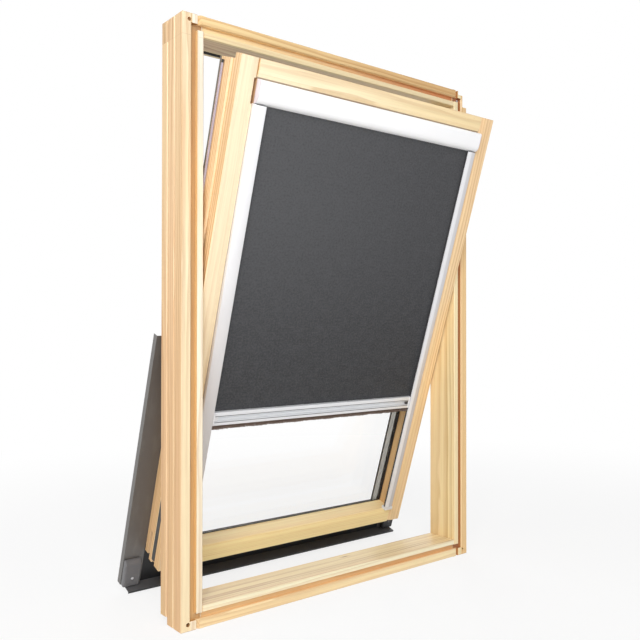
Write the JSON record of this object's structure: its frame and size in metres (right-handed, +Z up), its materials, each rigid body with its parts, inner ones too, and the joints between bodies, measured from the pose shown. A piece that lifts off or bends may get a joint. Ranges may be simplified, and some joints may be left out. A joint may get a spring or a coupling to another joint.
{
  "type": "skylight window blind",
  "caption": "Roller blackout blind with side rails on a centre-pivot pine roof window; the tilted sash swings in its frame and the bottom bar draws the fabric from the headbox roller.",
  "frame": {"origin": "centre of the flat underside of the frame's sill", "axes": "+X to the right seen from the room, +Y from the room to the outdoors, +Z up along the frame's jambs"},
  "size_m": [0.78, 0.4517, 1.178],
  "materials": {
    "pine": "clear satin lacquer on planed pine",
    "white_metal": "satin white powder coat",
    "silver": "satin anodised",
    "fabric": "coated blackout weave, dark grey",
    "dark_metal": "dark grey paint",
    "black_rubber": "matt extruded rubber",
    "steel": "zinc plated",
    "grey_plastic": "moulded",
    "white_plastic": "moulded",
    "glass": "clear float glass",
    "brush": "brown pile"
  },
  "bodies": {
    "frame": {"frame_jamb_left": "pine", "frame_jamb_right": "pine", "frame_head": "pine", "frame_sill": "pine", "frame_head_gasket": "black_rubber", "frame_screw_left_bottom": "steel", "frame_screw_left_top": "steel", "frame_screw_right_bottom": "steel", "frame_screw_right_top": "steel", "hinge_frame_plate_left": "steel", "hinge_frame_plate_right": "steel"},
    "sash": {"sash_stile_left": "pine", "sash_stile_right": "pine", "sash_top_rail": "pine", "sash_bottom_rail": "pine", "sash_side_seal_left": "black_rubber", "sash_side_seal_right": "black_rubber", "pane_room_seal": "black_rubber", "pane_outer_seal": "black_rubber", "hinge_sash_plate_left": "steel", "hinge_sash_plate_right": "steel", "pivot_pin_left": "steel", "pivot_pin_right": "steel", "end_block_screw_left": "steel", "end_block_screw_right": "steel", "roller_bracket_left": "steel", "roller_bracket_right": "steel", "roller_shaft": "steel", "pivot_washer_left": "grey_plastic", "pivot_washer_right": "grey_plastic", "pane_spacer": "grey_plastic", "end_block_left": "grey_plastic", "end_block_right": "grey_plastic", "pane_inner": "glass", "pane_outer": "glass", "cover_side_left": "dark_metal", "cover_side_right": "dark_metal", "profile_upper_left": "dark_metal", "profile_upper_right": "dark_metal", "profile_top": "dark_metal", "cover_bottom": "dark_metal", "headbox_cover": "white_metal", "headbox_back": "white_metal", "side_rail_left": "white_metal", "side_rail_right": "white_metal", "headbox_cap_left": "white_plastic", "headbox_cap_right": "white_plastic", "rail_foot_left": "white_plastic", "rail_foot_right": "white_plastic", "blind_fabric": "fabric"},
    "blind_bar": {"bottom_bar": "silver", "bar_glide_left": "white_plastic", "bar_glide_right": "white_plastic", "bar_brush": "brush"},
    "roller": {"roller_tube": "silver", "fabric_roll": "fabric", "roller_idler": "white_plastic", "roller_spring_plug": "white_plastic", "roller_spring": "steel"}
  },
  "joints": [
    {"name": "sash_pivot", "type": "hinge", "parent": "frame", "child": "sash", "pos_m": [0, 0.051, 0.584], "axis": [1, 0, 0], "range_deg": [-18.8, 121.2]},
    {"name": "blind_slide", "type": "slide", "parent": "sash", "child": "blind_bar", "axis": [0, -0.3223, 0.9466], "range_m": [-0.28, 0.62], "deforming": ["blind_fabric"]},
    {"name": "roller_spin", "type": "hinge", "parent": "sash", "child": "roller", "pos_m": [0, -0.14724, 1.01955], "axis": [1, 0, 0], "range_deg": [-2760, 1260]}
  ],
  "couplings": [
    {"joint": "roller_spin", "follows": "blind_slide", "rad_per_m": -76.923}
  ]
}
